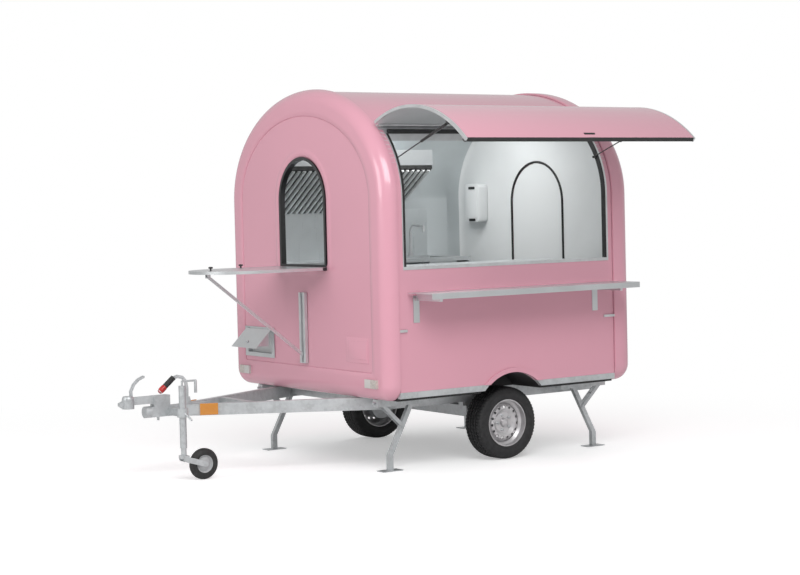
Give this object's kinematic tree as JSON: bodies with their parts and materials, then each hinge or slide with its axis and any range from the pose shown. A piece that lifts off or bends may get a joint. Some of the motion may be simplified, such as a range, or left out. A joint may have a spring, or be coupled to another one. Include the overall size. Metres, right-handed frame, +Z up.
{
  "type": "food trailer",
  "caption": "Arched catering trailer with a lift-up serving hatch, drop-down counter and shelf, A-frame drawbar and corner steadies.",
  "frame": {"origin": "bottom centre of the whole trailer's box, on the ground", "axes": "+Z up, -Y towards the drawbar and coupling, +X towards the serving side"},
  "size_m": [2.961, 3.76, 2.6979],
  "materials": {
    "pink_shell": "gloss gelcoat",
    "silver_frame": "satin anodised",
    "white_panel": "smooth white laminate",
    "zinc_steel": "hot-dip galvanised",
    "stainless": "brushed",
    "black_paint": "satin black",
    "black_rubber": "matt",
    "tyre_rubber": "matt",
    "rim_silver": "silver lacquer",
    "lamp_lens": "moulded lens",
    "amber_lens": "moulded lens",
    "clear_lens": "moulded lens",
    "dark_floor": "coated underside"
  },
  "bodies": {
    "body_and_chassis": {"front_cap": "pink_shell", "rear_cap": "pink_shell", "roof_panel": "pink_shell", "serving_side_panel": "pink_shell", "off_side_panel": "pink_shell", "floor": "dark_floor", "skirt_trims": "zinc_steel", "wheel_wells": "white_panel", "serving_frame": "silver_frame", "hatch_hinge_rail": "silver_frame", "front_window_frame": "black_rubber", "stay_track": "silver_frame", "wall_brackets": "stainless", "inlet_box": "stainless", "front_lamps": "clear_lens", "rear_lamps": "lamp_lens", "chassis_frame": "zinc_steel", "drawbar": "zinc_steel", "axle_beam": "zinc_steel", "axle_arms": "zinc_steel", "overrun_tube": "black_paint", "coupling_head": "zinc_steel", "brake_lever": "zinc_steel", "side_markers": "amber_lens", "jockey_clamp": "zinc_steel", "steady_bases": "zinc_steel", "exhaust_hood": "stainless", "hood_filters": "stainless", "sink_counter": "stainless", "serving_counter": "stainless", "faucet": "stainless", "splashback": "stainless"},
    "hatch": {"hatch_panel": "pink_shell"},
    "strut_cylinder_front": {"strut_cylinder_front": "black_paint"},
    "strut_rod_front": {"strut_rod_front": "black_paint"},
    "strut_cylinder_rear": {"strut_cylinder_rear": "black_paint"},
    "strut_rod_rear": {"strut_rod_rear": "black_paint"},
    "counter_flap": {"counter_flap": "stainless"},
    "flap_stay": {"flap_stay": "stainless"},
    "serving_shelf": {"serving_shelf": "stainless"},
    "rear_door": {"rear_door": "pink_shell"},
    "inlet_lid": {"inlet_lid": "stainless"},
    "wheel_near": {"tyre_near": "tyre_rubber", "rim_near": "rim_silver"},
    "wheel_off": {"tyre_off": "tyre_rubber", "rim_off": "rim_silver"},
    "jockey_tube": {"jockey_outer_tube": "zinc_steel"},
    "jockey_stem": {"jockey_inner_tube": "zinc_steel"},
    "jockey_fork": {"jockey_fork": "zinc_steel"},
    "jockey_wheel": {"jockey_wheel": "black_rubber"},
    "steady_brace_front_near": {"steady_brace_front_near": "zinc_steel"},
    "steady_leg_front_near": {"steady_leg_front_near": "zinc_steel"},
    "steady_brace_front_off": {"steady_brace_front_off": "zinc_steel"},
    "steady_leg_front_off": {"steady_leg_front_off": "zinc_steel"},
    "steady_brace_rear_near": {"steady_brace_rear_near": "zinc_steel"},
    "steady_leg_rear_near": {"steady_leg_rear_near": "zinc_steel"},
    "steady_brace_rear_off": {"steady_brace_rear_off": "zinc_steel"},
    "steady_leg_rear_off": {"steady_leg_rear_off": "zinc_steel"}
  },
  "joints": [
    {"name": "hatch_hinge", "type": "hinge", "parent": "body_and_chassis", "child": "hatch", "pos_m": [0.4225, 0.69, 2.402], "axis": [0, 1, 0], "range_deg": [0, 69.5]},
    {"name": "strut_pivot_front", "type": "hinge", "parent": "hatch", "child": "strut_cylinder_front", "pos_m": [1.1345, -0.194, 2.383], "axis": [0, 1, 0], "range_deg": [0, 23.2]},
    {"name": "strut_slide_front", "type": "slide", "parent": "strut_cylinder_front", "child": "strut_rod_front", "axis": [0.944, 0, 0.3301], "range_m": [0, 0.189]},
    {"name": "strut_pivot_rear", "type": "hinge", "parent": "hatch", "child": "strut_cylinder_rear", "pos_m": [1.1345, 1.579, 2.383], "axis": [0, 1, 0], "range_deg": [0, 23.2]},
    {"name": "strut_slide_rear", "type": "slide", "parent": "strut_cylinder_rear", "child": "strut_rod_rear", "axis": [0.944, 0, 0.3301], "range_m": [0, 0.189]},
    {"name": "flap_hinge", "type": "hinge", "parent": "body_and_chassis", "child": "counter_flap", "pos_m": [-0.4225, -0.404, 1.409], "axis": [-1, 0, 0], "range_deg": [0, 90]},
    {"name": "flap_stay_pivot", "type": "hinge", "parent": "counter_flap", "child": "flap_stay", "pos_m": [-0.4225, -1.167, 1.378], "axis": [-1, 0, 0], "range_deg": [-40, 0]},
    {"name": "shelf_hinge", "type": "hinge", "parent": "body_and_chassis", "child": "serving_shelf", "pos_m": [0.6435, 0.69, 1.203], "axis": [0, 1, 0], "range_deg": [0, 88]},
    {"name": "rear_door_hinge", "type": "hinge", "parent": "body_and_chassis", "child": "rear_door", "pos_m": [-0.7495, 1.843, 1.3], "axis": [0, 0, 1], "range_deg": [0, 110]},
    {"name": "inlet_lid_hinge", "type": "hinge", "parent": "body_and_chassis", "child": "inlet_lid", "pos_m": [-1.0675, -0.394, 0.944], "axis": [1, 0, 0], "range_deg": [-40, 45]},
    {"name": "wheel_near_spin", "type": "hinge", "parent": "body_and_chassis", "child": "wheel_near", "pos_m": [0.397, 0.75, 0.2625], "axis": [1, 0, 0], "continuous": true},
    {"name": "wheel_off_spin", "type": "hinge", "parent": "body_and_chassis", "child": "wheel_off", "pos_m": [-1.242, 0.75, 0.2625], "axis": [1, 0, 0], "continuous": true},
    {"name": "jockey_lift", "type": "slide", "parent": "body_and_chassis", "child": "jockey_tube", "axis": [0, 0, 1], "range_m": [0, 0.15]},
    {"name": "jockey_screw", "type": "slide", "parent": "jockey_tube", "child": "jockey_stem", "axis": [0, 0, 1], "range_m": [0, 0.04]},
    {"name": "jockey_swivel", "type": "hinge", "parent": "jockey_stem", "child": "jockey_fork", "pos_m": [-0.2225, -1.5, 0.17], "axis": [0, 0, 1], "continuous": true},
    {"name": "jockey_wheel_spin", "type": "hinge", "parent": "jockey_fork", "child": "jockey_wheel", "pos_m": [-0.2225, -1.35, 0.107], "axis": [1, 0, 0], "continuous": true},
    {"name": "steady_brace_hinge_front_near", "type": "hinge", "parent": "body_and_chassis", "child": "steady_brace_front_near", "pos_m": [0.3645, -0.273, 0.476], "axis": [1, 0, 0], "range_deg": [0, 35.7]},
    {"name": "steady_leg_pivot_front_near", "type": "hinge", "parent": "steady_brace_front_near", "child": "steady_leg_front_near", "pos_m": [0.3645, -0.09743, 0.308], "axis": [1, 0, 0], "range_deg": [-87.7, 0]},
    {"name": "steady_brace_hinge_front_off", "type": "hinge", "parent": "body_and_chassis", "child": "steady_brace_front_off", "pos_m": [-1.2095, -0.273, 0.476], "axis": [1, 0, 0], "range_deg": [0, 35.7]},
    {"name": "steady_leg_pivot_front_off", "type": "hinge", "parent": "steady_brace_front_off", "child": "steady_leg_front_off", "pos_m": [-1.2095, -0.09743, 0.308], "axis": [1, 0, 0], "range_deg": [-87.7, 0]},
    {"name": "steady_brace_hinge_rear_near", "type": "hinge", "parent": "body_and_chassis", "child": "steady_brace_rear_near", "pos_m": [0.3645, 1.719, 0.476], "axis": [-1, 0, 0], "range_deg": [0, 35.7]},
    {"name": "steady_leg_pivot_rear_near", "type": "hinge", "parent": "steady_brace_rear_near", "child": "steady_leg_rear_near", "pos_m": [0.3645, 1.54343, 0.308], "axis": [-1, 0, 0], "range_deg": [-87.7, 0]},
    {"name": "steady_brace_hinge_rear_off", "type": "hinge", "parent": "body_and_chassis", "child": "steady_brace_rear_off", "pos_m": [-1.2095, 1.719, 0.476], "axis": [-1, 0, 0], "range_deg": [0, 35.7]},
    {"name": "steady_leg_pivot_rear_off", "type": "hinge", "parent": "steady_brace_rear_off", "child": "steady_leg_rear_off", "pos_m": [-1.2095, 1.54343, 0.308], "axis": [-1, 0, 0], "range_deg": [-87.7, 0]}
  ],
  "couplings": [
    {"joint": "strut_pivot_front", "follows": "hatch_hinge", "ratio": 0.3329},
    {"joint": "strut_slide_front", "follows": "hatch_hinge", "m_per_rad": 0.1554},
    {"joint": "strut_pivot_rear", "follows": "hatch_hinge", "ratio": 0.3329},
    {"joint": "strut_slide_rear", "follows": "hatch_hinge", "m_per_rad": 0.1554},
    {"joint": "flap_stay_pivot", "follows": "flap_hinge", "ratio": -0.4261},
    {"joint": "steady_leg_pivot_front_near", "follows": "steady_brace_hinge_front_near", "ratio": -2.451},
    {"joint": "steady_leg_pivot_front_off", "follows": "steady_brace_hinge_front_off", "ratio": -2.451},
    {"joint": "steady_leg_pivot_rear_near", "follows": "steady_brace_hinge_rear_near", "ratio": -2.451},
    {"joint": "steady_leg_pivot_rear_off", "follows": "steady_brace_hinge_rear_off", "ratio": -2.451}
  ]
}
